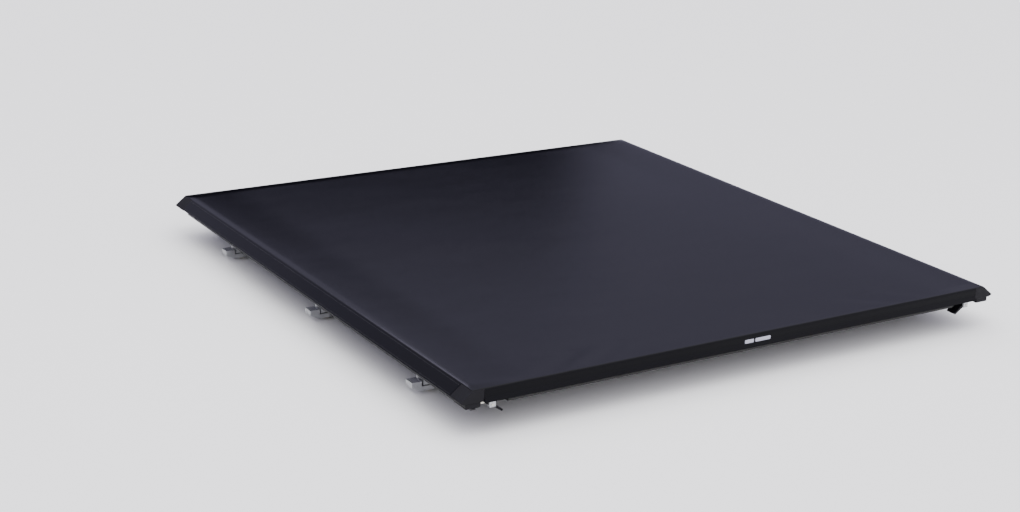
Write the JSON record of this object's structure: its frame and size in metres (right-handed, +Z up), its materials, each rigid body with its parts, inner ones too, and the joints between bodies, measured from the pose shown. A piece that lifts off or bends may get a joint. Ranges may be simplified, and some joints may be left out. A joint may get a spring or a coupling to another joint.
{
  "type": "soft roll-up tonneau cover",
  "caption": "Flat black vinyl pickup bed cover on clamp-on side rails, with sloped side hems, a latching rear bar, support bows and storage straps; rolls up towards the cab.",
  "frame": {"origin": "middle of the bed opening, on the plane of the tops of the truck's bed rails", "axes": "+X to the passenger side, +Y to the cab, +Z up"},
  "size_m": [1.6646, 1.7203, 0.1168],
  "materials": {
    "vinyl_sheet": "vinyl-coated polyester fabric, fine leather grain, satin, near-black with a cool cast",
    "rail_aluminium": "aluminium extrusion, black powder coat, fine orange-peel texture, satin",
    "bow_aluminium": "mill-finish aluminium tube with drawing lines along its length",
    "moulded_plastic": "black glass-filled nylon, fine spark-eroded texture",
    "knob_plastic": "black fluted knob on a plated screw",
    "buckle_plastic": "black acetal side-release buckle",
    "seal_rubber": "black EPDM foam rubber seal, matt",
    "hook_and_loop": "black nylon loop pile tape",
    "strap_webbing": "black polyester webbing, herringbone weave",
    "clamp_aluminium": "sand-cast and tumbled aluminium",
    "plated_steel": "zinc-plated steel"
  },
  "bodies": {
    "fixed_frame": {"buckle_sockets": "buckle_plastic", "bulkhead_seal": "seal_rubber", "clamp_brackets": "clamp_aluminium", "cover_section_00": "vinyl_sheet", "header_bar": "rail_aluminium", "header_corner_left": "moulded_plastic", "header_corner_right": "moulded_plastic", "latch_strikers": "plated_steel", "loop_tapes": "hook_and_loop", "rail_end_plug_left": "moulded_plastic", "rail_end_plug_right": "moulded_plastic", "rail_screws": "plated_steel", "rail_seals": "seal_rubber", "side_rail_left": "rail_aluminium", "side_rail_right": "rail_aluminium", "storage_straps": "strap_webbing", "tension_springs": "plated_steel"},
    "roll_section_01": {"cover_section_01": "vinyl_sheet"},
    "roll_section_02": {"cover_section_02": "vinyl_sheet", "support_bow_front": "bow_aluminium", "bow_end_caps_front": "moulded_plastic"},
    "roll_section_03": {"cover_section_03": "vinyl_sheet"},
    "roll_section_04": {"cover_section_04": "vinyl_sheet"},
    "roll_section_05": {"cover_section_05": "vinyl_sheet", "support_bow_middle": "bow_aluminium", "bow_end_caps_middle": "moulded_plastic"},
    "roll_section_06": {"cover_section_06": "vinyl_sheet"},
    "roll_section_07": {"cover_section_07": "vinyl_sheet"},
    "roll_section_08": {"cover_section_08": "vinyl_sheet", "support_bow_rear": "bow_aluminium", "bow_end_caps_rear": "moulded_plastic"},
    "roll_section_09": {"cover_section_09": "vinyl_sheet"},
    "roll_section_10": {"cover_section_10": "vinyl_sheet"},
    "rear_bar_group": {"cover_section_11": "vinyl_sheet", "rear_bar": "rail_aluminium", "tailgate_seal": "seal_rubber", "rear_bar_casting_left": "moulded_plastic", "rear_bar_casting_right": "moulded_plastic", "latch_housing_left": "clamp_aluminium", "latch_housing_right": "clamp_aluminium", "latch_pins": "plated_steel", "latch_springs": "plated_steel"},
    "latch_left": {"latch_trigger_left": "moulded_plastic"},
    "tension_knob_left": {"tension_knob_left": "knob_plastic"},
    "buckle_tongue_left": {"buckle_tongue_left": "buckle_plastic"},
    "latch_right": {"latch_trigger_right": "moulded_plastic"},
    "tension_knob_right": {"tension_knob_right": "knob_plastic"},
    "buckle_tongue_right": {"buckle_tongue_right": "buckle_plastic"},
    "clamp_jaw_front_left": {"clamp_jaw_front_left": "clamp_aluminium"},
    "clamp_bolt_front_left": {"clamp_bolt_front_left": "plated_steel"},
    "clamp_jaw_front_right": {"clamp_jaw_front_right": "clamp_aluminium"},
    "clamp_bolt_front_right": {"clamp_bolt_front_right": "plated_steel"},
    "clamp_jaw_middle_left": {"clamp_jaw_middle_left": "clamp_aluminium"},
    "clamp_bolt_middle_left": {"clamp_bolt_middle_left": "plated_steel"},
    "clamp_jaw_middle_right": {"clamp_jaw_middle_right": "clamp_aluminium"},
    "clamp_bolt_middle_right": {"clamp_bolt_middle_right": "plated_steel"},
    "clamp_jaw_rear_left": {"clamp_jaw_rear_left": "clamp_aluminium"},
    "clamp_bolt_rear_left": {"clamp_bolt_rear_left": "plated_steel"},
    "clamp_jaw_rear_right": {"clamp_jaw_rear_right": "clamp_aluminium"},
    "clamp_bolt_rear_right": {"clamp_bolt_rear_right": "plated_steel"}
  },
  "joints": [
    {"name": "roll_hinge_01", "type": "hinge", "parent": "fixed_frame", "child": "roll_section_01", "pos_m": [0, 0.64, 0.044], "axis": [-1, 0, 0], "range_deg": [0, 90]},
    {"name": "roll_hinge_02", "type": "hinge", "parent": "roll_section_01", "child": "roll_section_02", "pos_m": [0, 0.475, 0.044], "axis": [-1, 0, 0], "range_deg": [0, 90]},
    {"name": "roll_hinge_03", "type": "hinge", "parent": "roll_section_02", "child": "roll_section_03", "pos_m": [0, 0.295, 0.044], "axis": [-1, 0, 0], "range_deg": [0, 90]},
    {"name": "roll_hinge_04", "type": "hinge", "parent": "roll_section_03", "child": "roll_section_04", "pos_m": [0, 0.144, 0.044], "axis": [-1, 0, 0], "range_deg": [0, 90]},
    {"name": "roll_hinge_05", "type": "hinge", "parent": "roll_section_04", "child": "roll_section_05", "pos_m": [0, -0.022, 0.044], "axis": [-1, 0, 0], "range_deg": [0, 90]},
    {"name": "roll_hinge_06", "type": "hinge", "parent": "roll_section_05", "child": "roll_section_06", "pos_m": [0, -0.159, 0.044], "axis": [-1, 0, 0], "range_deg": [0, 90]},
    {"name": "roll_hinge_07", "type": "hinge", "parent": "roll_section_06", "child": "roll_section_07", "pos_m": [0, -0.311, 0.044], "axis": [-1, 0, 0], "range_deg": [0, 90]},
    {"name": "roll_hinge_08", "type": "hinge", "parent": "roll_section_07", "child": "roll_section_08", "pos_m": [0, -0.434, 0.044], "axis": [-1, 0, 0], "range_deg": [0, 90]},
    {"name": "roll_hinge_09", "type": "hinge", "parent": "roll_section_08", "child": "roll_section_09", "pos_m": [0, -0.572, 0.044], "axis": [-1, 0, 0], "range_deg": [0, 90]},
    {"name": "roll_hinge_10", "type": "hinge", "parent": "roll_section_09", "child": "roll_section_10", "pos_m": [0, -0.681, 0.044], "axis": [-1, 0, 0], "range_deg": [0, 90]},
    {"name": "rear_bar_fold", "type": "hinge", "parent": "roll_section_10", "child": "rear_bar_group", "pos_m": [0, -0.805, 0.046], "axis": [-1, 0, 0], "range_deg": [0, 180]},
    {"name": "latch_left_pull", "type": "hinge", "parent": "rear_bar_group", "child": "latch_left", "pos_m": [-0.745, -0.831, -0.002], "axis": [0, -1, 0], "range_deg": [0, 25], "stiffness_Nm_per_rad": 0.08, "springref_deg": -20.05},
    {"name": "tension_knob_left_turn", "type": "hinge", "parent": "fixed_frame", "child": "tension_knob_left", "pos_m": [-0.747, 0.762, 0.02], "axis": [0, 1, 0], "range_deg": [0, 1440]},
    {"name": "buckle_tongue_left_slide", "type": "slide", "parent": "fixed_frame", "child": "buckle_tongue_left", "axis": [0, -1, 0], "range_m": [0, 0.025]},
    {"name": "latch_right_pull", "type": "hinge", "parent": "rear_bar_group", "child": "latch_right", "pos_m": [0.745, -0.831, -0.002], "axis": [0, 1, 0], "range_deg": [0, 25], "stiffness_Nm_per_rad": 0.08, "springref_deg": -20.05},
    {"name": "tension_knob_right_turn", "type": "hinge", "parent": "fixed_frame", "child": "tension_knob_right", "pos_m": [0.747, 0.762, 0.02], "axis": [0, 1, 0], "range_deg": [0, 1440]},
    {"name": "buckle_tongue_right_slide", "type": "slide", "parent": "fixed_frame", "child": "buckle_tongue_right", "axis": [0, -1, 0], "range_m": [0, 0.025]},
    {"name": "clamp_jaw_front_left_slide", "type": "slide", "parent": "fixed_frame", "child": "clamp_jaw_front_left", "axis": [0, 0, -1], "range_m": [0, 0.0075]},
    {"name": "clamp_bolt_front_left_turn", "type": "hinge", "parent": "clamp_jaw_front_left", "child": "clamp_bolt_front_left", "pos_m": [-0.748, 0.56, -0.0663], "axis": [0, 0, -1], "range_deg": [0, 2160]},
    {"name": "clamp_jaw_front_right_slide", "type": "slide", "parent": "fixed_frame", "child": "clamp_jaw_front_right", "axis": [0, 0, -1], "range_m": [0, 0.0075]},
    {"name": "clamp_bolt_front_right_turn", "type": "hinge", "parent": "clamp_jaw_front_right", "child": "clamp_bolt_front_right", "pos_m": [0.748, 0.56, -0.0663], "axis": [0, 0, -1], "range_deg": [0, 2160]},
    {"name": "clamp_jaw_middle_left_slide", "type": "slide", "parent": "fixed_frame", "child": "clamp_jaw_middle_left", "axis": [0, 0, -1], "range_m": [0, 0.0075]},
    {"name": "clamp_bolt_middle_left_turn", "type": "hinge", "parent": "clamp_jaw_middle_left", "child": "clamp_bolt_middle_left", "pos_m": [-0.748, 0, -0.0663], "axis": [0, 0, -1], "range_deg": [0, 2160]},
    {"name": "clamp_jaw_middle_right_slide", "type": "slide", "parent": "fixed_frame", "child": "clamp_jaw_middle_right", "axis": [0, 0, -1], "range_m": [0, 0.0075]},
    {"name": "clamp_bolt_middle_right_turn", "type": "hinge", "parent": "clamp_jaw_middle_right", "child": "clamp_bolt_middle_right", "pos_m": [0.748, 0, -0.0663], "axis": [0, 0, -1], "range_deg": [0, 2160]},
    {"name": "clamp_jaw_rear_left_slide", "type": "slide", "parent": "fixed_frame", "child": "clamp_jaw_rear_left", "axis": [0, 0, -1], "range_m": [0, 0.0075]},
    {"name": "clamp_bolt_rear_left_turn", "type": "hinge", "parent": "clamp_jaw_rear_left", "child": "clamp_bolt_rear_left", "pos_m": [-0.748, -0.56, -0.0663], "axis": [0, 0, -1], "range_deg": [0, 2160]},
    {"name": "clamp_jaw_rear_right_slide", "type": "slide", "parent": "fixed_frame", "child": "clamp_jaw_rear_right", "axis": [0, 0, -1], "range_m": [0, 0.0075]},
    {"name": "clamp_bolt_rear_right_turn", "type": "hinge", "parent": "clamp_jaw_rear_right", "child": "clamp_bolt_rear_right", "pos_m": [0.748, -0.56, -0.0663], "axis": [0, 0, -1], "range_deg": [0, 2160]}
  ],
  "couplings": [
    {"joint": "clamp_bolt_front_left_turn", "follows": "clamp_jaw_front_left_slide", "rad_per_m": 5026.5},
    {"joint": "clamp_bolt_front_right_turn", "follows": "clamp_jaw_front_right_slide", "rad_per_m": 5026.5},
    {"joint": "clamp_bolt_middle_left_turn", "follows": "clamp_jaw_middle_left_slide", "rad_per_m": 5026.5},
    {"joint": "clamp_bolt_middle_right_turn", "follows": "clamp_jaw_middle_right_slide", "rad_per_m": 5026.5},
    {"joint": "clamp_bolt_rear_left_turn", "follows": "clamp_jaw_rear_left_slide", "rad_per_m": 5026.5},
    {"joint": "clamp_bolt_rear_right_turn", "follows": "clamp_jaw_rear_right_slide", "rad_per_m": 5026.5}
  ]
}
